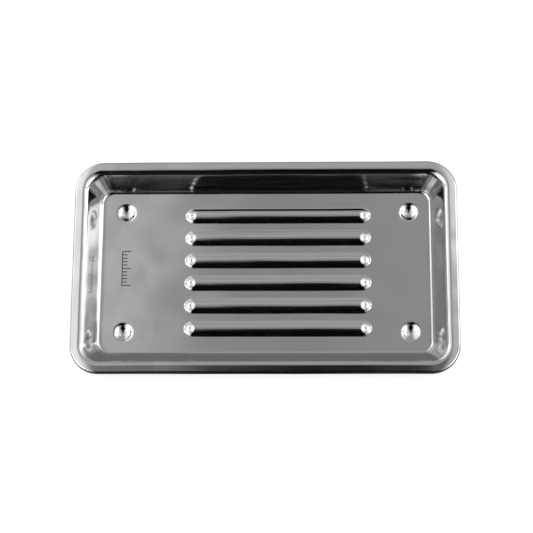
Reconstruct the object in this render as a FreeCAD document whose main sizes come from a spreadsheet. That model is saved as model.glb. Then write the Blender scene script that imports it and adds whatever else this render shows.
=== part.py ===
"""Ribbed instrument tray: a shallow basin deep-drawn from one sheet of stainless steel.

The frame has its origin at the middle of the plane that the four feet stand on, +X along the
tray's length towards the end that the ribs are nearer to, +Y across its width and +Z up.
All sizes are in millimetres.
"""

import FreeCAD, Part
import math
import os
import re

import Sketcher

SHEET = "Sizes"

SIZES = {
    # outline of the whole tray
    "overall_length": 215,
    "overall_width": 122.6,
    "outer_corner_radius": 16.4,
    "sheet_thickness": 0.8,
    # basin: its inner faces, between the sharp corners that the bends round off
    "basin_depth": 13.5,
    "rim_width": 6.5,
    "wall_run": 7.8,
    "floor_corner_radius": 6.5,
    "floor_bend_radius": 1.7,
    "rim_bend_radius": 3.6,
    # rim: a flange that falls outwards and ends in a short lip, turned down
    "rim_fall": 0.7,
    "lip_drop": 2.4,
    "lip_bend_radius": 1.3,
    # ribs: arched beads along X, with domed ends that stand a little higher
    "rib_count": 6,
    "rib_pitch": 13.2,
    "rib_length": 106.4,
    "rib_centre_x": 7,
    "rib_crown_radius": 8,
    "rib_rise": 1.2,
    "dome_rise": 1.7,
    "rib_blend_radius": 1.5,
    # feet: spherical dishes pressed down through the floor, flat where they stand
    "foot_spacing_x": 160.2,
    "foot_spacing_y": 70,
    "foot_centre_x": 0.9,
    "dish_sphere_radius": 8,
    "dish_radius": 4.95,
    "dish_blend_radius": 2.8,
    "pad_flattening": 0.12,
    # scale printed on the floor near the -X end
    "scale_divisions": 10,
    "scale_pitch": 2,
    "scale_centre_x": -81,
    "scale_centre_y": 2.2,
    "scale_line_width": 0.5,
    "scale_tick_length": 2.6,
    "scale_long_tick_length": 4.6,
    "scale_ink_thickness": 0.05,
}

# Sizes that follow from the ones above.
DERIVED = {
    "half_length": "overall_length / 2",
    "half_width": "overall_width / 2",
    "dish_depth": "dish_sphere_radius - sqrt(dish_sphere_radius^2 - dish_radius^2)",
    "foot_sphere_radius": "dish_sphere_radius + sheet_thickness",
    "floor_under": "dish_depth - pad_flattening",
    "floor_top": "floor_under + sheet_thickness",
    "dish_centre_z": "floor_top - dish_depth + dish_sphere_radius",
    "rim_top": "floor_top + basin_depth",
    "floor_half_length": "half_length - rim_width - wall_run",
    "floor_half_width": "half_width - rim_width - wall_run",
    "rim_half_length": "half_length - rim_width",
    "rim_half_width": "half_width - rim_width",
    "rim_corner_radius": "outer_corner_radius - rim_width",
    # how far outside the inner face the wall's outer face is, level with the rim and the underside
    "wall_offset": "sheet_thickness * sqrt(basin_depth^2 + wall_run^2) / basin_depth",
    "under_offset": "wall_offset - sheet_thickness * wall_run / basin_depth",
    # heights on the rim, and where the basin's block ends inside the flange
    "rim_edge": "rim_top - rim_fall",
    "lip_bottom": "rim_edge - lip_drop",
    "flange_drop": "sheet_thickness * sqrt(rim_width^2 + rim_fall^2) / rim_width",
    "flange_under_bend": "rim_top - flange_drop",
    "flange_under_edge": "rim_edge + rim_fall * sheet_thickness / rim_width - flange_drop",
    "rim_slope": "rim_fall / rim_width",
    "wall_slope": "wall_run / basin_depth",
    "rim_bend_under": "rim_top - (flange_drop + rim_slope * wall_offset) / (1 + rim_slope * wall_slope)",
    "block_top": "rim_top - sheet_thickness / 2",
    "block_offset": "wall_offset - wall_run / basin_depth * sheet_thickness / 2",
    "floor_middle": "floor_under + sheet_thickness / 2",
    "flute_mouth": "floor_under - sheet_thickness",
    "rib_half_width": "sqrt(rib_crown_radius^2 - (rib_crown_radius - rib_rise)^2)",
    "rib_crown": "floor_top + rib_rise",
    "rib_axis_z": "rib_crown - rib_crown_radius",
    "flute_crown": "rib_crown - sheet_thickness",
    "dome_crown": "floor_top + dome_rise",
    "hollow_crown": "dome_crown - sheet_thickness",
    "rib_straight": "rib_length - 2 * rib_half_width",
    "flute_radius": "rib_crown_radius - sheet_thickness",
    "flute_half_width": "sqrt(flute_radius^2 - (floor_under - rib_axis_z)^2)",
    # a dome and the hollow below it: each a spherical cap on the rib's or the flute's width
    "dome_radius": "(rib_half_width^2 + dome_rise^2) / (2 * dome_rise)",
    "hollow_radius": "(flute_half_width^2 + dome_rise^2) / (2 * dome_rise)",
    "foot_half_width": "sqrt(foot_sphere_radius^2 - (dish_centre_z - floor_under)^2)",
    "pad_radius": "sqrt(foot_sphere_radius^2 - dish_centre_z^2)",
}

UP = FreeCAD.Vector(0, 0, 1)
NEAR = 0.03  # how far a point may be from a height and still count as level with it
WALL_FOOT = 0.95  # share of the floor's half size beyond which a point is at the wall's foot
SAMPLES = (0.0, 0.31, 0.5, 0.83)  # where along an edge it is tested

doc = FreeCAD.newDocument("InstrumentTray")
sheet = doc.addObject("Spreadsheet::Sheet", SHEET)


def bound(formula):
    """Turn a formula of bare size names into one that reads the spreadsheet."""
    def full_name(match):
        word = match.group(0)
        return f"{SHEET}.{word}" if word in SIZES or word in DERIVED else word
    return re.sub(r"[A-Za-z_]\w*", full_name, formula)


def value_of(formula):
    return float(sheet.evalExpression(bound(formula)))


def fill_sheet():
    rows = [(name, str(value)) for name, value in SIZES.items()]
    rows += [(name, "=" + formula) for name, formula in DERIVED.items()]
    for row, (name, content) in enumerate(rows, start=1):
        sheet.set(f"A{row}", name)
        sheet.set(f"B{row}", content)
        sheet.setAlias(f"B{row}", name)
    doc.recompute()


# ---------------------------------------------------------------- sketches

def origin_feature(body, role):
    return next(item for item in body.Origin.OriginFeatures if item.Role == role)


def new_sketch(body, name, plane, x="0", y="0", out="0"):
    """Add a sketch on one of the body's origin planes, moved by formulas in the sketch's axes."""
    sketch = body.newObject("Sketcher::SketchObject", name)
    sketch.AttachmentSupport = [(origin_feature(body, plane), "")]
    sketch.MapMode = "FlatFace"
    for axis, formula in (("x", x), ("y", y), ("z", out)):
        if formula != "0":
            sketch.setExpression(f"AttachmentOffset.Base.{axis}", bound(formula))
    return sketch


def constrain(sketch, formula, kind, *place):
    """Add a dimension to a sketch and bind it to a formula."""
    index = sketch.addConstraint(Sketcher.Constraint(kind, *place, value_of(formula)))
    sketch.setExpression(f"Constraints[{index}]", bound(formula))


def pin_point(sketch, geometry, end, x, y):
    """Hold a sketch point at formulas x and y; "0" puts it on the axis itself."""
    for formula, kind, axis in ((x, "DistanceX", -2), (y, "DistanceY", -1)):
        if formula == "0":
            sketch.addConstraint(Sketcher.Constraint("PointOnObject", geometry, end, axis))
        else:
            constrain(sketch, formula, kind, -1, 1, geometry, end)


def outline(sketch, corners):
    """Draw a closed outline through corners, each (x, y) or (x, y, radius).

    A radius makes the stretch that leaves the corner an arc that turns anticlockwise.
    """
    points = [FreeCAD.Vector(value_of(corner[0]), value_of(corner[1]), 0) for corner in corners]
    for index, corner in enumerate(corners):
        start = points[index]
        end = points[(index + 1) % len(points)]
        if len(corner) == 2:
            sketch.addGeometry(Part.LineSegment(start, end))
            continue
        radius = value_of(corner[2])
        along = end - start
        left = FreeCAD.Vector(-along.y, along.x, 0).normalize()
        centre = (start + end) / 2 + left * math.sqrt(radius**2 - (along.Length / 2)**2)
        angles = [math.atan2(point.y - centre.y, point.x - centre.x) for point in (start, end)]
        circle = Part.Circle(centre, UP, radius)
        sketch.addGeometry(Part.ArcOfCircle(circle, *angles))
    for index, corner in enumerate(corners):
        after = (index + 1) % len(corners)
        sketch.addConstraint(Sketcher.Constraint("Coincident", index, 2, after, 1))
        pin_point(sketch, index, 1, corner[0], corner[1])
        if len(corner) > 2:
            constrain(sketch, corner[2], "Radius", index)


def rounded_rectangle(sketch, half_x, half_y, radius):
    """Draw a rectangle with rounded corners about the sketch's origin."""
    a, b, r = value_of(half_x), value_of(half_y), value_of(radius)
    centres = [(a - r, b - r), (r - a, b - r), (r - a, r - b), (a - r, r - b)]
    arcs = []
    for turn, centre in enumerate(centres):
        circle = Part.Circle(FreeCAD.Vector(*centre, 0), UP, r)
        arcs.append(Part.ArcOfCircle(circle, turn * math.pi / 2, (turn + 1) * math.pi / 2))
    for arc, after in zip(arcs, arcs[1:] + arcs[:1]):
        sketch.addGeometry(arc)
        sketch.addGeometry(Part.LineSegment(arc.EndPoint, after.StartPoint))
    for turn in range(4):
        arc, line, after = 2 * turn, 2 * turn + 1, (2 * turn + 2) % 8
        sketch.addConstraint(Sketcher.Constraint("Tangent", arc, 2, line, 1))
        sketch.addConstraint(Sketcher.Constraint("Tangent", line, 2, after, 1))
        sketch.addConstraint(Sketcher.Constraint("Vertical" if turn % 2 else "Horizontal", line))
        constrain(sketch, radius, "Radius", arc)
    constrain(sketch, half_y, "DistanceY", -1, 1, 1, 1)
    constrain(sketch, f"0 - ({half_x})", "DistanceX", -1, 1, 3, 1)
    constrain(sketch, f"0 - ({half_y})", "DistanceY", -1, 1, 5, 1)
    constrain(sketch, half_x, "DistanceX", -1, 1, 7, 1)


# ---------------------------------------------------------------- features

def add_feature(body, kind, name, settings, formulas=()):
    """Add a PartDesign feature and make it the body's tip.

    The settings are plain values. The formulas are bound to the spreadsheet.
    """
    item = body.newObject("PartDesign::" + kind, name)
    for key, setting in dict(settings).items():
        setattr(item, key, setting)
    for key, formula in dict(formulas).items():
        item.setExpression(key, bound(formula))
    body.Tip = item
    return item


def checked(item, sign):
    """Recompute, and make sure that the feature added material (+1) or removed it (-1)."""
    doc.recompute()
    before = item.BaseFeature.Shape.Volume if item.BaseFeature else 0.0
    change = item.Shape.Volume - before
    if change * sign <= 0:
        raise RuntimeError(f"{item.Name} changed the volume by {change:.3f} mm3")
    return item


def loft(body, name, sign, low, high):
    """Add (+1) or cut (-1) a loft between two rounded rectangles.

    Each one is (half length, half width, corner radius, height), as formulas.
    """
    sections = []
    for end, (half_x, half_y, radius, height) in (("Low", low), ("High", high)):
        sketch = new_sketch(body, name + end, "XY_Plane", out=height)
        rounded_rectangle(sketch, half_x, half_y, radius)
        sections.append(sketch)
    doc.recompute()
    kind = "AdditiveLoft" if sign > 0 else "SubtractiveLoft"
    settings = {"Profile": sections[0], "Sections": [sections[1]], "Ruled": True}
    return checked(add_feature(body, kind, name, settings), sign)


def bar(body, name, sign, corners, length, x, y):
    """Add or cut a bar along X with the given outline in Y and Z."""
    sketch = new_sketch(body, name + "Outline", "YZ_Plane", x=y, out=x)
    outline(sketch, corners)
    kind = "Pad" if sign > 0 else "Pocket"
    settings = {"Profile": sketch, "SideType": "Symmetric"}
    return checked(add_feature(body, kind, name, settings, {"Length": length}), sign)


def turned(body, name, sign, corners, x, y):
    """Add or cut a solid of revolution about the upright line through x and y."""
    sketch = new_sketch(body, name + "Outline", "XZ_Plane", x=x, out=f"0 - ({y})")
    outline(sketch, corners)
    kind = "Revolution" if sign > 0 else "Groove"
    settings = {"Profile": sketch, "ReferenceAxis": (sketch, ["V_Axis"]), "Angle": 360.0}
    return checked(add_feature(body, kind, name, settings), sign)


def repeat(body, name, originals, *directions):
    """Repeat features along one or two axes of the body, each (axis, spacing, count)."""
    settings = {"Originals": originals}
    formulas = {}
    for suffix, (axis, spacing, count) in zip(("", "2"), directions):
        settings["Direction" + suffix] = (origin_feature(body, axis), [""])
        formulas["Length" + suffix] = f"({spacing}) * (({count}) - 1)"
        formulas["Occurrences" + suffix] = count
    add_feature(body, "LinearPattern", name, settings, formulas)
    doc.recompute()


def fillet(body, name, radius, test):
    """Round every edge of the tip that passes the test at all its sampled points."""
    base = body.Tip
    names = []
    for number, edge in enumerate(base.Shape.Edges, start=1):
        first, last = edge.ParameterRange
        points = [edge.valueAt(first + (last - first) * share) for share in SAMPLES]
        if all(test(point) for point in points):
            names.append(f"Edge{number}")
    add_feature(body, "Fillet", name, {"Base": (base, names)}, {"Radius": radius})
    doc.recompute()


# ---------------------------------------------------------------- the pan

def build_rim(body):
    """Make the flange and its lip as a shallow cap that is open below."""
    outside = ("half_length", "half_width", "outer_corner_radius")
    inside = [f"{text} - sheet_thickness" for text in outside]
    bend_line = ("rim_half_length", "rim_half_width", "rim_corner_radius")
    loft(body, "Lip", +1, (*outside, "lip_bottom"), (*outside, "rim_edge"))
    loft(body, "Flange", +1, (*outside, "rim_edge"), (*bend_line, "rim_top"))
    loft(body, "LipHollow", -1, (*inside, "lip_bottom"), (*inside, "flange_under_edge"))
    loft(body, "FlangeHollow", -1, (*inside, "flange_under_edge"), (*bend_line, "flange_under_bend"))


def build_basin(body):
    """Add the basin's block below the rim and hollow it from above."""
    low_names = ("floor_half_length", "floor_half_width", "floor_corner_radius")
    high_names = ("rim_half_length", "rim_half_width", "rim_corner_radius")
    low = [f"{text} + under_offset" for text in low_names]
    high = [f"{text} + block_offset" for text in high_names]
    loft(body, "BasinBlock", +1, (*low, "floor_under"), (*high, "block_top"))
    loft(body, "BasinHollow", -1, (*low_names, "floor_top"), (*high_names, "rim_top"))


def build_feet(body):
    """Press four dished feet through the floor."""
    x = "foot_centre_x - foot_spacing_x / 2"
    y = "0 - foot_spacing_y / 2"
    boss = turned(body, "FootBoss", +1, [
        ("0", "0"),
        ("pad_radius", "0", "foot_sphere_radius"),
        ("foot_half_width", "floor_under"),
        ("foot_half_width", "floor_middle"),
        ("0", "floor_middle"),
    ], x, y)
    dish = turned(body, "FootDish", -1, [
        ("0", "floor_top - dish_depth", "dish_sphere_radius"),
        ("dish_radius", "floor_top"),
        ("dish_radius", "floor_top + sheet_thickness"),
        ("0", "floor_top + sheet_thickness"),
    ], x, y)
    along, across = ("X_Axis", "foot_spacing_x", "2"), ("Y_Axis", "foot_spacing_y", "2")
    repeat(body, "Feet", [boss, dish], along, across)


def build_ribs(body):
    """Raise the arched ribs, each with a flute below it that keeps the sheet's thickness."""
    y = "0 - rib_pitch * (rib_count - 1) / 2"
    ends = {"West": "rib_centre_x - rib_straight / 2", "East": "rib_centre_x + rib_straight / 2"}
    parts = []

    def bead(name, sign, half, base, level, bar_radius, dome_radius, dome_crown):
        """Make one bead: a bar with an arched edge at its level, and a dome at each end."""
        section = [
            (f"0 - {half}", base),
            (half, base),
            (half, level, bar_radius),
            (f"0 - {half}", level),
        ]
        dome_section = [
            ("0", base),
            (half, base),
            (half, level, dome_radius),
            ("0", dome_crown),
        ]
        parts.append(bar(body, name, sign, section, "rib_straight", "rib_centre_x", y))
        for end, x in ends.items():
            parts.append(turned(body, name + end, sign, dome_section, x, y))

    bead("Rib", +1, "rib_half_width", "floor_middle", "floor_top",
         "rib_crown_radius", "dome_radius", "dome_crown")
    bead("Flute", -1, "flute_half_width", "flute_mouth", "floor_under",
         "flute_radius", "hollow_radius", "hollow_crown")
    repeat(body, "Ribs", parts, ("Y_Axis", "rib_pitch", "rib_count"))


def at_height(formula, zone=lambda point: True):
    """Make a test for points at a height and inside a zone."""
    height = value_of(formula)
    return lambda point: abs(point.z - height) < NEAR and zone(point)


def by_wall(point):
    """Say whether a point of the floor is at the foot of the basin's wall."""
    along = abs(point.x) / value_of("floor_half_length")
    across = abs(point.y) / value_of("floor_half_width")
    return max(along, across) > WALL_FOOT


def by_rib(point):
    reach = value_of("rib_length / 2 + sheet_thickness")
    return abs(point.x - value_of("rib_centre_x")) < reach and not by_wall(point)


def by_foot(point):
    return not by_wall(point) and not by_rib(point)


def round_bends(body):
    """Round the sheet where it bends. The outside of a bend is one sheet thickness larger."""
    fillet(body, "FloorBend", "floor_bend_radius", at_height("floor_top", by_wall))
    fillet(body, "FloorBendUnder", "floor_bend_radius + sheet_thickness", at_height("floor_under", by_wall))
    fillet(body, "RimBendUnder", "rim_bend_radius - sheet_thickness", at_height("rim_bend_under"))
    fillet(body, "RimBend", "rim_bend_radius", at_height("rim_top"))
    fillet(body, "LipBendUnder", "lip_bend_radius - sheet_thickness", at_height("flange_under_edge"))
    fillet(body, "LipBend", "lip_bend_radius", at_height("rim_edge"))
    fillet(body, "RibBlend", "rib_blend_radius", at_height("floor_top", by_rib))
    fillet(body, "FluteBlend", "rib_blend_radius + sheet_thickness", at_height("floor_under", by_rib))
    fillet(body, "FootBlend", "dish_blend_radius - sheet_thickness", at_height("floor_under", by_foot))
    fillet(body, "DishBlend", "dish_blend_radius", at_height("floor_top", by_foot))


def build_pan():
    body = doc.addObject("PartDesign::Body", "TrayPan")
    body.Label = "tray_pan"
    build_rim(body)
    build_basin(body)
    build_feet(body)
    build_ribs(body)
    round_bends(body)
    return body


# ---------------------------------------------------------------- the printed scale

def printed_block(body, name, width_x, width_y, x, y):
    """Add an ink block on the floor: its size, and the place of its middle."""
    sketch = new_sketch(body, name + "Outline", "XY_Plane", x=x, y=y, out="floor_top")
    sides = (f"({width_x}) / 2", f"({width_y}) / 2")
    corners = [(-1, -1), (1, -1), (1, 1), (-1, 1)]
    outline(sketch, [(f"{i} * {sides[0]}", f"{j} * {sides[1]}") for i, j in corners])
    block = add_feature(body, "Pad", name, {"Profile": sketch}, {"Length": "scale_ink_thickness"})
    return checked(block, +1)


def build_scale():
    body = doc.addObject("PartDesign::Body", "PrintedScale")
    body.Label = "printed_scale"
    span = "scale_pitch * scale_divisions"
    first = f"scale_centre_y - {span} / 2"
    beyond = "scale_centre_x + scale_line_width / 2 + "
    printed_block(body, "Line", "scale_line_width", f"{span} + scale_line_width",
                  "scale_centre_x", "scale_centre_y")
    tick = printed_block(body, "Tick", "scale_tick_length", "scale_line_width",
                         beyond + "scale_tick_length / 2", first)
    repeat(body, "Ticks", [tick], ("Y_Axis", "scale_pitch", "scale_divisions + 1"))
    long_tick = printed_block(body, "LongTick", "scale_long_tick_length", "scale_line_width",
                              beyond + "scale_long_tick_length / 2", first)
    repeat(body, "LongTicks", [long_tick], ("Y_Axis", f"{span} / 2", "3"))
    return body


def check_and_export(bodies):
    doc.recompute()
    for item in doc.Objects:
        faults = {"Invalid", "Error"} & set(item.State)
        if faults:
            raise RuntimeError(f"{item.Name} is {faults}")
    for body in bodies:
        if body.Shape.isNull() or not body.Shape.isValid():
            raise RuntimeError(f"{body.Label} has no valid shape")
    os.makedirs("parts", exist_ok=True)
    for body in bodies:
        body.Shape.exportStep(f"parts/{body.Label}.step")


fill_sheet()
pan = build_pan()
scale = build_scale()
check_and_export([pan, scale])
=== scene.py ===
"""Looks of the ribbed instrument tray: the polished sheet, the printed scale, the stage and the camera.

Shapes are worked out in millimetres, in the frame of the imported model, and turned into metres when
a mesh is made. The origin is the middle of the plane that the feet stand on, +X runs along the tray
and +Z is up.
"""

import math

import bpy
import numpy as np
from mathutils import Matrix, Vector


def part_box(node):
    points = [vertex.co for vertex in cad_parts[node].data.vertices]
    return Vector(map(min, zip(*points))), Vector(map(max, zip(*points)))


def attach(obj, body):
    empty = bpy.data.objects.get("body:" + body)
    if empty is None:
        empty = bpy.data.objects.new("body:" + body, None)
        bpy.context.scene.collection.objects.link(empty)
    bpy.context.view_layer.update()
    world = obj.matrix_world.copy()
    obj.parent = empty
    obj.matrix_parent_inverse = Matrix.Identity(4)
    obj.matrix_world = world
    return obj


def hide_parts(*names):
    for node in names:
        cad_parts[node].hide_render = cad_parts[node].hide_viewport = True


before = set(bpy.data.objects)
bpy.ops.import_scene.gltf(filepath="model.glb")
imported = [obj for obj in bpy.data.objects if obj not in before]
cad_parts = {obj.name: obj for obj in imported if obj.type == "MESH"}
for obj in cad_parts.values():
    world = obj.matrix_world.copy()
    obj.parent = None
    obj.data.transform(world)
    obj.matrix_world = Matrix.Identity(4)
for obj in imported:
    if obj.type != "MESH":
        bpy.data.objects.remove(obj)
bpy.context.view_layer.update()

MM = 0.001
PAN_LOW, PAN_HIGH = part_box("tray_pan")
SCALE_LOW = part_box("printed_scale")[0]

# outline, and the sections of its wall and rim
HALF_LENGTH = (PAN_HIGH.x - PAN_LOW.x) / 2 / MM
HALF_WIDTH = (PAN_HIGH.y - PAN_LOW.y) / 2 / MM
OUTER_CORNER = 16.4
SHEET = 0.8
BASIN_DEPTH = 13.5
RIM_WIDTH = 6.5
WALL_RUN = 7.8
FLOOR_CORNER = 6.5
FLOOR_BEND = 1.7
RIM_BEND = 3.6
RIM_FALL = 0.7
LIP_DROP = 2.4
LIP_BEND = 1.3
FLOOR_TOP = SCALE_LOW.z / MM
RIM_TOP = FLOOR_TOP + BASIN_DEPTH
LIP_BOTTOM = RIM_TOP - RIM_FALL - LIP_DROP

# ribs
RIB_COUNT = 6
RIB_PITCH = 13.2
RIB_LENGTH = 106.4
RIB_CENTRE = 7.0
RIB_CROWN_RADIUS = 8.0
RIB_RISE = 1.2
RIB_BLEND = 1.5
RIB_HALF_WIDTH = math.sqrt(RIB_CROWN_RADIUS**2 - (RIB_CROWN_RADIUS - RIB_RISE)**2)
RIB_STRAIGHT = RIB_LENGTH - 2 * RIB_HALF_WIDTH

# domes that close the ribs' ends, and how far behind a dome's middle the rib itself stops
DOME_RISE = 1.7
DOME_SPHERE = 3.5
DOME_BLEND = 1.4
RIB_SETBACK = 1.5
DOME_MERGE = 0.3

# painted highlight: near-white matt ring round each dome's crown, and how far across the tray the rings
# reach
HIGHLIGHT_RING_INNER = (0.3, 0.8)
HIGHLIGHT_RING_OUTER = (2.4, 3.0)
HIGHLIGHT_RING_REACH = (37.6, 38.6)

# feet
FOOT_SPACING_X = 160.2
FOOT_SPACING_Y = 70.0
FOOT_CENTRE = 0.9
DISH_SPHERE = 8.0
DISH_RADIUS = 4.95
DISH_BLEND = 2.8
DISH_DEPTH = DISH_SPHERE - math.sqrt(DISH_SPHERE**2 - DISH_RADIUS**2)

# grid of the floor's mesh: its corner, and how far outside it the loops keep their spacing
GRID_INSET = 19.2
GRID_CORNER = 2.2
CORNER_LINES = 9
GRID_HALF_X = HALF_LENGTH - GRID_INSET
GRID_HALF_Y = HALF_WIDTH - GRID_INSET
CORE_X = GRID_HALF_X - GRID_CORNER
CORE_Y = GRID_HALF_Y - GRID_CORNER
STEADY_X = 70.0
STEADY_Y = 28.0
FOOT_MARGIN = 7.0
DOME_MARGIN = 6.0
FINE_X = 0.34
FINE_Y = 0.36

# unevenness of the sheet
WARP_SEED = 7
WARP_WAVES = 14
WARP_HEIGHT = 0.02


# ---------------------------------------------------------------- heights of the pressed floor

def bead(distance, radius, rise, blend):
    """Height of a pressed bead at a distance from its middle: an arch that blends into the floor."""
    centre = rise - radius
    foot = math.sqrt((radius + blend)**2 - (blend - centre)**2)
    touch = foot * radius / (radius + blend)
    arch = centre + np.sqrt(np.maximum(radius**2 - distance**2, 0))
    hollow = blend - np.sqrt(np.maximum(blend**2 - (foot - distance)**2, 0))
    return np.where(distance < touch, arch, np.where(distance < foot, hollow, 0.0))


def soft_max(a, b, width):
    """The larger of two heights, rounded where they are close."""
    reach = np.minimum(width, 0.6 * np.maximum(a, b)) + 1e-9
    overlap = np.maximum(reach - np.abs(a - b), 0) / reach
    return np.maximum(a, b) + overlap**2 * reach / 4


def rib_lines():
    return [RIB_PITCH * (index - (RIB_COUNT - 1) / 2) for index in range(RIB_COUNT)]


def foot_centres():
    for side_x in (-1, 1):
        for side_y in (-1, 1):
            yield FOOT_CENTRE + side_x * FOOT_SPACING_X / 2, side_y * FOOT_SPACING_Y / 2


def floor_relief(x, y):
    """Height of the ribs and depth of the dishes above the plain floor."""
    relief = np.zeros_like(x)
    beyond = np.abs(x - RIB_CENTRE) - RIB_STRAIGHT / 2
    for line in rib_lines():
        from_bar = np.hypot(np.maximum(beyond + RIB_SETBACK, 0), y - line)
        from_end = np.hypot(beyond, y - line)
        bar = bead(from_bar, RIB_CROWN_RADIUS, RIB_RISE, RIB_BLEND)
        dome = bead(from_end, DOME_SPHERE, DOME_RISE, DOME_BLEND)
        relief += soft_max(bar, dome, DOME_MERGE)
    for centre_x, centre_y in foot_centres():
        relief -= bead(np.hypot(x - centre_x, y - centre_y), DISH_SPHERE, DISH_DEPTH, DISH_BLEND)
    return relief


# ---------------------------------------------------------------- the pan's mesh

def spread(stretches):
    """Positions through stretches, each (start, end, widest spacing)."""
    positions = [stretches[0][0]]
    for start, end, spacing in stretches:
        count = max(1, math.ceil((end - start) / spacing))
        positions += [start + (end - start) * (step + 1) / count for step in range(count)]
    return positions


def grid_lines_x():
    left_foot = FOOT_CENTRE - FOOT_SPACING_X / 2 + FOOT_MARGIN
    right_foot = FOOT_CENTRE + FOOT_SPACING_X / 2 - FOOT_MARGIN
    left_dome = RIB_CENTRE - RIB_STRAIGHT / 2
    right_dome = RIB_CENTRE + RIB_STRAIGHT / 2
    return spread([
        (-GRID_HALF_X, -CORE_X, GRID_CORNER / CORNER_LINES),
        (-CORE_X, left_foot, 0.5),
        (left_foot, left_dome - DOME_MARGIN, 1.3),
        (left_dome - DOME_MARGIN, left_dome + DOME_MARGIN, FINE_X),
        (left_dome + DOME_MARGIN, right_dome - DOME_MARGIN, 2.4),
        (right_dome - DOME_MARGIN, right_dome + DOME_MARGIN, FINE_X),
        (right_dome + DOME_MARGIN, right_foot, 1.3),
        (right_foot, CORE_X, 0.5),
        (CORE_X, GRID_HALF_X, GRID_CORNER / CORNER_LINES),
    ])


def grid_lines_y():
    return spread([
        (-GRID_HALF_Y, -CORE_Y, GRID_CORNER / CORNER_LINES),
        (-CORE_Y, CORE_Y, FINE_Y),
        (CORE_Y, GRID_HALF_Y, GRID_CORNER / CORNER_LINES),
    ])


def corner_radius(inset):
    """Radius of the tray's corners at an inset from its outer edge."""
    floor_inset = RIM_WIDTH + WALL_RUN
    opening = 1 - (OUTER_CORNER - RIM_WIDTH - FLOOR_CORNER) / WALL_RUN
    softness = 1.2
    past = np.clip(inset - RIM_WIDTH + softness, 0, 2 * softness)
    ramp = past**2 / (4 * softness) + np.maximum(inset - RIM_WIDTH - softness, 0)
    bend_end = floor_inset + 1.0
    radius = OUTER_CORNER - inset + opening * ramp
    at_end = OUTER_CORNER - bend_end + opening * (bend_end - RIM_WIDTH)
    share = (inset - bend_end) / (GRID_INSET - bend_end)
    return np.where(inset < bend_end, radius, at_end + (GRID_CORNER - at_end) * share)


def rounded_path(corners, radii, turn_step, straight_step):
    """Points along a path of (inset, height) corners whose inner ones are rounded."""
    points = [np.array(corner, float) for corner in corners]
    path = [points[0]]

    def go_to(target, step):
        start = path[-1]
        count = max(1, math.ceil(np.linalg.norm(target - start) / step))
        path.extend(start + (target - start) * (index + 1) / count for index in range(count))

    for before, corner, after, radius in zip(points, points[1:], points[2:], radii):
        back = (before - corner) / np.linalg.norm(before - corner)
        onward = (after - corner) / np.linalg.norm(after - corner)
        half_angle = math.acos(np.clip(back @ onward, -1, 1)) / 2
        middle = (back + onward) / np.linalg.norm(back + onward)
        centre = corner + middle * radius / math.sin(half_angle)
        reach = radius / math.tan(half_angle)
        go_to(corner + back * reach, straight_step)
        first = corner + back * reach - centre
        last = corner + onward * reach - centre
        turn = math.pi - 2 * half_angle
        count = max(2, math.ceil(turn / turn_step))
        for index in range(1, count + 1):
            share = index / count
            mixed = first * math.sin((1 - share) * turn) + last * math.sin(share * turn)
            path.append(centre + mixed / math.sin(turn))
    go_to(points[-1], straight_step)
    return path


def wall_path():
    """Section of the top face from the floor's grid over the wall and the rim to the lip."""
    edge_radius = SHEET / 2
    corners = [
        (GRID_INSET, FLOOR_TOP),
        (RIM_WIDTH + WALL_RUN, FLOOR_TOP),
        (RIM_WIDTH, RIM_TOP),
        (0.0, RIM_TOP - RIM_FALL),
        (0.0, LIP_BOTTOM + edge_radius),
    ]
    radii = [FLOOR_BEND, RIM_BEND, LIP_BEND]
    return rounded_path(corners, radii, math.radians(8), 2.2)


def edge_path():
    """Rounded cut edge of the sheet, between its top face and its underside."""
    radius = SHEET / 2
    steps = 6
    for step in range(1, steps):
        turn = math.pi * step / steps
        yield radius - radius * math.cos(turn), LIP_BOTTOM + radius - radius * math.sin(turn)


def outline_points(border, inset):
    """Move the grid's border points out to the rounded rectangle at an inset."""
    radius = corner_radius(np.float64(inset))
    core = np.array([HALF_LENGTH - inset - radius, HALF_WIDTH - inset - radius])
    grid_core = np.array([CORE_X, CORE_Y])
    steady = np.array([STEADY_X, STEADY_Y])
    inside = np.clip(border, -grid_core, grid_core)
    over = np.abs(border - inside)
    size = np.abs(inside)
    stretched = steady + (size - steady) * (core - steady) / (grid_core - steady)
    centre = np.sign(inside) * np.where(size > steady, stretched, size)
    turn = (over[:, 0] + GRID_CORNER - over[:, 1]) / (2 * GRID_CORNER) * math.pi / 2
    outward = np.stack([np.sin(turn), np.cos(turn)], axis=1) * np.sign(border)
    return centre + outward * radius


def border_order(columns, rows):
    """Grid indices of the border, anticlockwise from the corner at -X and -Y."""
    south = [(column, 0) for column in range(columns - 1)]
    east = [(columns - 1, row) for row in range(rows - 1)]
    north = [(column, rows - 1) for column in range(columns - 1, 0, -1)]
    west = [(0, row) for row in range(rows - 1, 0, -1)]
    return np.array([column * rows + row for column, row in south + east + north + west])


def vertex_normals(points, quads):
    corners = points[quads]
    across = np.cross(corners[:, 2] - corners[:, 0], corners[:, 3] - corners[:, 1])
    normals = np.zeros_like(points)
    for index in range(4):
        np.add.at(normals, quads[:, index], across)
    return normals / np.linalg.norm(normals, axis=1)[:, None]


def handling_warp(points):
    """Small unevenness that pressing and handling leave in the sheet, in millimetres."""
    x, y, z = points.T
    rng = np.random.default_rng(WARP_SEED)
    warp = np.zeros_like(x)
    for _ in range(WARP_WAVES):
        length_x = rng.uniform(35, 110)
        length_y = rng.uniform(18, 60)
        phase = rng.uniform(0, 2 * math.pi, 3)
        tilt = rng.uniform(-0.4, 0.4)
        along = 2 * math.pi * (x / length_x + tilt * y / length_y) + phase[0]
        across = 2 * math.pi * (y / length_y + z / 40) + phase[1]
        warp += WARP_HEIGHT * np.sin(along) * np.sin(across)
    near_scale = np.exp(-((x - SCALE_LOW.x / MM) / 12)**4 - (y / 24)**4)
    return warp * (1 - near_scale)


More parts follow.
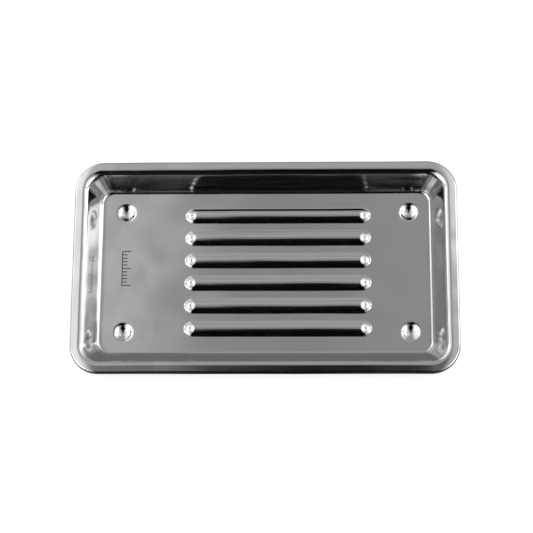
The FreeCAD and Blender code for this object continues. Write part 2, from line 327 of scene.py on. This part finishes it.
def pan_faces():
    """Vertices and quads of the pressed sheet, as one closed skin."""
    lines_x = np.array(grid_lines_x())
    lines_y = np.array(grid_lines_y())
    columns, rows = len(lines_x), len(lines_y)
    grid_x, grid_y = [values.ravel() for values in np.meshgrid(lines_x, lines_y, indexing="ij")]
    grid = np.stack([grid_x, grid_y, FLOOR_TOP + floor_relief(grid_x, grid_y)], axis=1)
    cell = (np.arange(columns - 1)[:, None] * rows + np.arange(rows - 1)[None, :]).ravel()
    quads = [np.stack([cell, cell + rows, cell + rows + 1, cell + 1], axis=1)]

    order = border_order(columns, rows)
    border = grid[order, :2]
    points = [grid]
    count = len(grid)
    inner = order
    for inset, height in wall_path()[1:]:
        loop = outline_points(border, inset)
        points.append(np.column_stack([loop, np.full(len(loop), height)]))
        outer = count + np.arange(len(loop))
        quads.append(np.stack([inner, outer, np.roll(outer, -1), np.roll(inner, -1)], axis=1))
        inner = outer
        count += len(loop)
    top = np.concatenate(points)
    top_quads = np.concatenate(quads)

    warped = top + vertex_normals(top, top_quads) * handling_warp(top)[:, None]
    warped[:, 2] = np.where(top[:, 2] < LIP_BOTTOM + SHEET, np.maximum(warped[:, 2], 0), warped[:, 2])
    under = warped - vertex_normals(warped, top_quads) * SHEET
    under[:, 2] = np.maximum(under[:, 2], 0)

    skin = [warped, under]
    faces = [top_quads, top_quads[:, ::-1] + count]
    total = 2 * count
    last_top = inner
    last_under = inner + count
    previous = last_top
    for inset, height in edge_path():
        loop = outline_points(border, inset)
        skin.append(np.column_stack([loop, np.full(len(loop), height)]))
        current = total + np.arange(len(loop))
        faces.append(np.stack([previous, current, np.roll(current, -1), np.roll(previous, -1)], axis=1))
        previous = current
        total += len(loop)
    faces.append(np.stack([previous, last_under, np.roll(last_under, -1), np.roll(previous, -1)], axis=1))
    return np.concatenate(skin), np.concatenate(faces)


def new_mesh_object(name, points, faces):
    """Make a smooth-shaded mesh object from millimetre points."""
    mesh = bpy.data.meshes.new(name)
    mesh.from_pydata((points * MM).tolist(), [], faces.tolist())
    mesh.polygons.foreach_set("use_smooth", [True] * len(mesh.polygons))
    mesh.validate()
    mesh.update()
    thing = bpy.data.objects.new(name, mesh)
    bpy.context.scene.collection.objects.link(thing)
    return thing


# ---------------------------------------------------------------- node helpers

class Graph:
    """Short ways to add nodes to one node tree."""

    def __init__(self, tree):
        self.tree = tree
        tree.nodes.clear()

    def node(self, kind, **settings):
        made = self.tree.nodes.new(kind)
        for key, setting in settings.items():
            setattr(made, key, setting)
        return made

    def feed(self, socket, source):
        """Link a source to a socket, or set the socket's own value."""
        if isinstance(source, bpy.types.NodeSocket):
            self.tree.links.new(source, socket)
        else:
            socket.default_value = source

    def math(self, operation, *sources, clamp=False):
        made = self.node("ShaderNodeMath", operation=operation, use_clamp=clamp)
        for socket, source in zip(made.inputs, sources):
            self.feed(socket, source)
        return made.outputs[0]

    def smooth(self, value, low, high, low_out=0.0, high_out=1.0):
        """Go smoothly from one output to another while the value goes from low to high."""
        made = self.node("ShaderNodeMapRange", interpolation_type="SMOOTHSTEP")
        for key, source in (("Value", value), ("From Min", low), ("From Max", high),
                            ("To Min", low_out), ("To Max", high_out)):
            self.feed(made.inputs[key], source)
        return made.outputs["Result"]

    def mix(self, share, first, second):
        """Blend two numbers."""
        made = self.node("ShaderNodeMix", data_type="FLOAT")
        self.feed(made.inputs[0], share)
        self.feed(made.inputs[2], first)
        self.feed(made.inputs[3], second)
        return made.outputs[0]

    def split(self, vector):
        made = self.node("ShaderNodeSeparateXYZ")
        self.feed(made.inputs[0], vector)
        return made.outputs

    def length(self, first, second):
        squares = self.math("MULTIPLY_ADD", first, first, self.math("MULTIPLY", second, second))
        return self.math("SQRT", squares)

    def band(self, value, low, high, soft):
        """Mask of the stretch between two places, in millimetres, with soft ends."""
        rise = self.smooth(value, (low - soft) * MM, (low + soft) * MM)
        fall = self.smooth(value, (high + soft) * MM, (high - soft) * MM)
        return self.math("MULTIPLY", rise, fall)

    def noise(self, vector, size, detail=2.0, roughness=0.5, distortion=0.0):
        """Noise whose features have about the given size, in metres along each axis."""
        mapping = self.node("ShaderNodeMapping")
        self.feed(mapping.inputs["Vector"], vector)
        self.feed(mapping.inputs["Scale"], [1 / length for length in size])
        made = self.node("ShaderNodeTexNoise")
        self.feed(made.inputs["Vector"], mapping.outputs["Vector"])
        for key, value in (("Scale", 1.0), ("Detail", detail), ("Roughness", roughness),
                           ("Distortion", distortion)):
            self.feed(made.inputs[key], value)
        return made.outputs[0]

    def grey(self, value):
        made = self.node("ShaderNodeCombineColor")
        for socket in made.inputs[:3]:
            self.feed(socket, value)
        return made.outputs[0]


def new_material(name):
    material = bpy.data.materials.new(name)
    material.use_nodes = True
    return material, Graph(material.node_tree)


def finish_surface(graph, settings):
    """Add a Principled surface with the given inputs, and the material's output."""
    surface = graph.node("ShaderNodeBsdfPrincipled")
    for key, source in settings.items():
        graph.feed(surface.inputs[key], source)
    output = graph.node("ShaderNodeOutputMaterial")
    graph.feed(output.inputs["Surface"], surface.outputs[0])


# ---------------------------------------------------------------- materials

def steel_material():
    """Polished stainless sheet: rolling grain along X, fine scratches, uneven handling haze and lighter
    patches at the left end; painted shade darkens the walls and a painted highlight rings each dome.
    """
    material, graph = new_material("polished_steel")
    place = graph.node("ShaderNodeTexCoord").outputs["Object"]
    grain = graph.noise(place, (0.09, 0.0011, 0.02), 3.0, 0.6)
    fine_grain = graph.noise(place, (0.02, 0.00035, 0.01), 2.0, 0.6)
    haze = graph.noise(place, (0.035, 0.022, 0.03), 3.0, 0.55, 0.4)
    scratch_field = graph.noise(place, (0.012, 0.0009, 0.006), 4.0, 0.7, 0.25)
    scratches = graph.smooth(scratch_field, 0.66, 0.72)

    along, across, up = graph.split(place)
    # band up the walls: painted shade makes their tone darker, and their grain bumps are weaker
    wall_band_painted_shade = graph.band(up, FLOOR_TOP + 2.2, RIM_TOP - 1.9, 0.8)
    # lighter patches over the left end of the sheet
    from_left = graph.smooth(along, -0.02, -0.055)
    left_patch_field = graph.noise(place, (0.03, 0.05, 0.05), 2.0, 0.5, 0.8)
    left_patches = graph.math("MULTIPLY", graph.smooth(left_patch_field, 0.46, 0.62), from_left)

    # painted highlight: near-white, rough ring round each dome's crown
    to_rib = graph.math("WRAP", across, RIB_PITCH * MM, 0.0)
    to_rib = graph.math("SUBTRACT", to_rib, RIB_PITCH * MM / 2)
    beyond = graph.math("ABSOLUTE", graph.math("SUBTRACT", along, RIB_CENTRE * MM))
    beyond = graph.math("SUBTRACT", beyond, RIB_STRAIGHT * MM / 2)
    to_dome = graph.length(to_rib, beyond)
    ring_start, ring_full = HIGHLIGHT_RING_INNER
    ring_fade, ring_end = HIGHLIGHT_RING_OUTER
    painted_dome_highlight = graph.math("MULTIPLY", graph.smooth(to_dome, ring_start * MM, ring_full * MM),
                      graph.smooth(to_dome, ring_end * MM, ring_fade * MM))
    reach_fade, reach_end = HIGHLIGHT_RING_REACH
    sideways = graph.math("ABSOLUTE", across)
    within = graph.smooth(sideways, reach_end * MM, reach_fade * MM)
    painted_dome_highlight = graph.math("MULTIPLY", painted_dome_highlight, within)
    # only the upper face gets the painted highlight
    facing = graph.split(graph.node("ShaderNodeNewGeometry").outputs["Normal"])[2]
    painted_dome_highlight = graph.math("MULTIPLY", painted_dome_highlight, graph.smooth(facing, 0.0, 0.2))
    # the painted highlight is for camera rays only: mirrored in the walls, the rings stay as dark as the
    # sheet round them
    painted_dome_highlight = graph.math("MULTIPLY", painted_dome_highlight, graph.node("ShaderNodeLightPath").outputs["Is Camera Ray"])

    tone = graph.math("MULTIPLY_ADD", grain, 0.03, 0.54)
    tone = graph.math("MULTIPLY_ADD", haze, 0.02, tone)
    tone = graph.math("MULTIPLY_ADD", left_patches, 0.07, tone)
    # painted shade: darker tone on the walls
    tone = graph.math("MULTIPLY_ADD", wall_band_painted_shade, -0.2, tone)
    # painted highlight: the rings' colour is near white
    tone = graph.mix(painted_dome_highlight, tone, 0.95)
    roughness = graph.math("MULTIPLY_ADD", grain, 0.05, 0.05)
    roughness = graph.math("MULTIPLY_ADD", haze, 0.05, roughness)
    roughness = graph.math("MULTIPLY_ADD", scratches, 0.06, roughness)
    roughness = graph.mix(painted_dome_highlight, roughness, 0.52)

    height = graph.math("MULTIPLY_ADD", fine_grain, 0.4, grain)
    height = graph.math("MULTIPLY_ADD", scratches, -0.5, height)
    bump = graph.node("ShaderNodeBump")
    graph.feed(bump.inputs["Strength"], graph.math("MULTIPLY_ADD", wall_band_painted_shade, -0.45, 0.5))
    graph.feed(bump.inputs["Distance"], 0.000012)
    graph.feed(bump.inputs["Height"], height)
    finish_surface(graph, {
        "Base Color": graph.grey(tone),
        "Metallic": 1.0,
        "Roughness": roughness,
        "Normal": bump.outputs[0],
    })
    return material


def ink_material():
    """Thin matt ink, worn a little where hands and cloths rub it."""
    material, graph = new_material("black_ink")
    place = graph.node("ShaderNodeTexCoord").outputs["Object"]
    wear = graph.noise(place, (0.0012, 0.0012, 0.0012), 4.0, 0.7)
    worn = graph.smooth(wear, 0.52, 0.74)
    tone = graph.mix(worn, 0.012, 0.06)
    bump = graph.node("ShaderNodeBump")
    graph.feed(bump.inputs["Strength"], 0.4)
    graph.feed(bump.inputs["Distance"], 0.00001)
    graph.feed(bump.inputs["Height"], wear)
    finish_surface(graph, {
        "Base Color": graph.grey(tone),
        "Roughness": graph.mix(worn, 0.62, 0.42),
        "Normal": bump.outputs[0],
    })
    return material


def stage_material():
    """Pale matt surface, lit a little from within like a light table."""
    material, graph = new_material("pale_floor")
    place = graph.node("ShaderNodeTexCoord").outputs["Object"]
    mottle = graph.noise(place, (0.3, 0.3, 0.3), 3.0, 0.5)
    tone = graph.math("MULTIPLY_ADD", mottle, 0.01, 0.5)
    # painted light and shade for what the steel mirrors of it: a painted shadow under the tray, palest on
    # the left, dark in front
    along, across, _ = graph.split(place)
    painted_reflected_light = graph.smooth(along, 0.098, 0.106, 0.2, 0.35)
    painted_reflected_light = graph.mix(graph.smooth(along, -0.098, -0.106), painted_reflected_light, 0.8)
    in_front = graph.smooth(graph.math("ABSOLUTE", along), 0.03, 0.07, 0.004, 0.15)
    painted_reflected_light = graph.mix(graph.smooth(across, -0.048, -0.06), painted_reflected_light, in_front)
    is_mirrored = graph.node("ShaderNodeLightPath").outputs["Is Glossy Ray"]
    finish_surface(graph, {
        "Base Color": graph.grey(graph.mix(is_mirrored, tone, 0.0)),
        "Roughness": 0.9,
        "Specular IOR Level": graph.mix(is_mirrored, 0.1, 0.0),
        "Emission Color": (1.0, 1.0, 1.0, 1.0),
        # the steel sees only this painted glow of the floor
        "Emission Strength": graph.mix(is_mirrored, 0.76, painted_reflected_light),
    })
    return material


# ---------------------------------------------------------------- the studio

def studio_world():
    """Surroundings that the steel mirrors: a pale room, two bright windows and a dark camera stand.

    Directions are given by two angles in degrees: the lean from straight up towards +Y, and the
    lean towards +X.
    They are painted to suit the main view and are not a real room.
    """
    world = bpy.data.worlds.new("studio")
    world.use_nodes = True
    world.cycles.sampling_method = "NONE"
    graph = Graph(world.node_tree)
    direction = graph.node("ShaderNodeTexCoord").outputs["Generated"]
    parts = graph.node("ShaderNodeSeparateXYZ")
    graph.feed(parts.inputs[0], direction)
    across, forward, up = parts.outputs
    lean_y = graph.math("MULTIPLY", graph.math("ARCTAN2", forward, up), math.degrees(1))
    lean_x = graph.math("MULTIPLY", graph.math("ARCSINE", across), math.degrees(1))

    def window(low_y, high_y, low_x, high_x, soft):
        """Mask of a soft-edged panel between the given leans."""
        mask = graph.smooth(lean_y, low_y - soft, low_y + soft)
        for value, low, high in ((lean_y, high_y + soft, high_y - soft),
                                 (lean_x, low_x - soft, low_x + soft),
                                 (lean_x, high_x + soft, high_x - soft)):
            mask = graph.math("MULTIPLY", mask, graph.smooth(value, low, high))
        return mask

    def disc(centre_y, centre_x, half_y, half_x, soft):
        """Mask of a soft-edged ellipse."""
        from_y = graph.math("DIVIDE", graph.math("SUBTRACT", lean_y, centre_y), half_y)
        from_x = graph.math("DIVIDE", graph.math("SUBTRACT", lean_x, centre_x), half_x)
        reach = graph.math("SQRT", graph.math("ADD", graph.math("MULTIPLY", from_y, from_y),
                                              graph.math("MULTIPLY", from_x, from_x)))
        return graph.smooth(reach, 1 + soft, 1 - soft)

    # ceiling, darker towards +X, and the paler wall behind the tray
    light = graph.smooth(lean_x, -9.0, -2.0, 0.72, 0.38)
    light = graph.mix(graph.smooth(lean_x, -1.0, 3.0), light, 0.44)
    light = graph.mix(window(26, 120, -90, 90, 7), light, 0.6)
    light = graph.mix(window(68, 120, -90, 90, 8), light, 0.42)
    # the stretches that the near wall and the right flange mirror
    light = graph.mix(window(40, 58, -30, 30, 4), light, 0.48)
    beside = graph.smooth(lean_y, 15.5, 18.5, 0.7, 1.15)
    light = graph.mix(window(-10, 40, 12, 30, 3.5), light, beside)
    # bright sides, with a brighter panel on each
    light = graph.mix(window(-62, 70, -90, -15, 3), light, 1.3)
    light = graph.mix(window(-62, 43, -56, -32, 3), light, 3.6)
    light = graph.mix(window(-120, 120, -90, -58, 3), light, 0.62)
    light = graph.mix(window(-62, 66, 28, 90, 7), light, 1.2)
    light = graph.mix(window(-62, 43, 36, 58, 3), light, 3.6)
    light = graph.mix(window(-120, 120, 60, 90, 3), light, 0.75)
    light = graph.mix(window(37.5, 120, 60, 90, 1.2), light, 3.6)
    # each bright panel is weaker level with the middle of the tray
    light = graph.mix(window(6, 26, -60, -22, 9), light, 1.25)
    light = graph.mix(window(6, 26, 32, 62, 9), light, 1.15)
    # dim room in front, darker near the floor
    light = graph.mix(window(-140, -48, -90, 90, 5), light, 0.3)
    light = graph.mix(window(-140, -66, -90, 90, 4), light, 0.02)
    light = graph.mix(window(-140, -46, -26, 26, 4), light, 0.01)
    # the camera and the person behind it, dim at the edges and nearly black inside
    around = graph.smooth(lean_x, -4.6, -2.8, 0.25, 0.003)
    around = graph.mix(graph.smooth(lean_x, 2.6, 3.8), around, 0.18)
    light = graph.mix(window(-12, 9.0, -12, 12, 1.8), light, around)
    light = graph.mix(disc(-27, 0, 21, 18, 0.12), light, 0.003)
    light = graph.mix(window(-20, -4, -5.6, 3.6, 1.0), light, 0.003)

    path = graph.node("ShaderNodeLightPath").outputs
    level = graph.mix(path["Is Glossy Ray"], 0.62, light)
    level = graph.mix(path["Is Camera Ray"], level, 1.0)
    backdrop = graph.node("ShaderNodeBackground")
    graph.feed(backdrop.inputs["Color"], graph.grey(level))
    output = graph.node("ShaderNodeOutputWorld")
    graph.feed(output.inputs["Surface"], backdrop.outputs[0])
    bpy.context.scene.world = world


def soft_light(name, place, target, size, power):
    """Add a square soft light that the steel does not mirror."""
    lamp = bpy.data.lights.new(name, "AREA")
    lamp.size = size
    lamp.energy = power
    thing = bpy.data.objects.new(name, lamp)
    thing.location = place
    thing.rotation_euler = (Vector(target) - Vector(place)).to_track_quat("-Z", "Y").to_euler()
    thing.visible_glossy = False
    thing.visible_camera = False
    bpy.context.scene.collection.objects.link(thing)


def stage_floor():
    half = 4000.0
    corners = np.array([(-half, -half, 0), (half, -half, 0), (half, half, 0), (-half, half, 0)], float)
    floor = new_mesh_object("stage_floor", corners, np.array([[0, 1, 2, 3]]))
    floor.data.materials.append(stage_material())


def studio_camera():
    """Camera high above the near long side, looking down at the middle of the tray."""
    camera = bpy.data.cameras.new("camera")
    camera.sensor_width = 36.0
    camera.lens = 113.6
    camera.clip_start = 0.01
    camera.clip_end = 50.0
    thing = bpy.data.objects.new("camera", camera)
    place = Vector((0.0295, -0.2618, 0.9122))
    ahead = Vector((-0.03056, 0.27941, -0.95968)).normalized()
    right = Vector((0.99953, 0.00583, -0.03013))
    right = (right - ahead * right.dot(ahead)).normalized()
    up = right.cross(ahead)
    turn = Matrix((right, up, -ahead)).transposed()
    thing.matrix_world = Matrix.Translation(place) @ turn.to_4x4()
    bpy.context.scene.collection.objects.link(thing)
    bpy.context.scene.camera = thing


# ---------------------------------------------------------------- assembly

def build_pan():
    pan = new_mesh_object("pan_sheet", *pan_faces())
    pan.data.materials.append(steel_material())
    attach(pan, "root")
    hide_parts("tray_pan")


def finish_scale():
    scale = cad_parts["printed_scale"]
    scale.data.materials.clear()
    scale.data.materials.append(ink_material())


build_pan()
finish_scale()
stage_floor()
studio_world()
soft_light("overhead", (0.3, 0.2, 1.4), (0, 0, 0), 1.4, 8.0)
studio_camera()
bpy.context.scene.view_settings.view_transform = "Standard"
